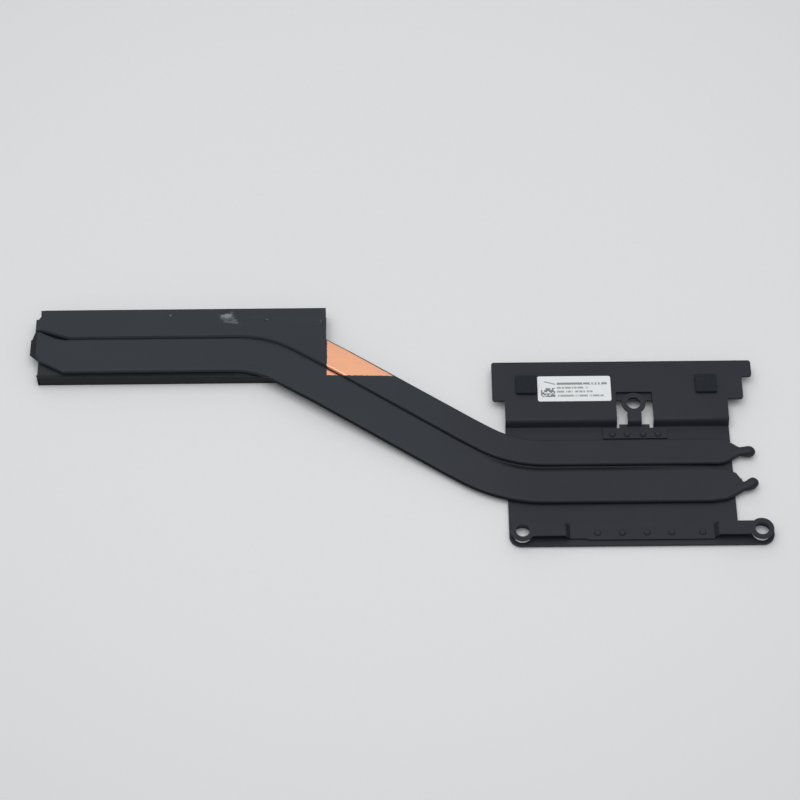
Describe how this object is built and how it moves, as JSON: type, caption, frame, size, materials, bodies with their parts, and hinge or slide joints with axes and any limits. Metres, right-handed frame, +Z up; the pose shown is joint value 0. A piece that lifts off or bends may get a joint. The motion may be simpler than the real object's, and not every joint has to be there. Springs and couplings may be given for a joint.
{
  "type": "laptop heat pipe module",
  "caption": "Black laptop thermal module: flattened heat pipes bent between a thin fin stack and a stepped base plate with a copper cold plate, sprung screw eyes, foam pads and a label.",
  "frame": {"origin": "centre of the cold plate's contact face, on the plane that the cold plate and the fin stack both stand on", "axes": "+X along the module towards the pinched pipe tails, +Y towards the raised rear flap, +Z up, away from the board"},
  "size_m": [0.2145, 0.0799, 0.0051],
  "materials": {
    "black_pipe": "satin black paint over copper",
    "black_fins": "satin black paint over aluminium",
    "black_film": "satin black film with light scuffs",
    "black_sheet": "satin black paint over aluminium sheet",
    "bare_copper": "bare copper, milled flat",
    "black_spring": "satin black paint over spring steel",
    "foam": "matte closed-cell foam",
    "white_label": null
  },
  "bodies": {
    "root": {"front_heat_pipe": "black_pipe", "rear_heat_pipe": "black_pipe", "fin_stack": "black_fins", "fin_cover_film": "black_film", "base_plate": "black_sheet", "cold_plate": "bare_copper", "front_spring_bar": "black_spring", "rear_spring_tongue": "black_spring", "front_bar_rivets": "black_spring", "tongue_rivets": "black_spring", "left_foam_pad": "foam", "right_foam_pad": "foam", "label": "white_label"}
  },
  "joints": []
}
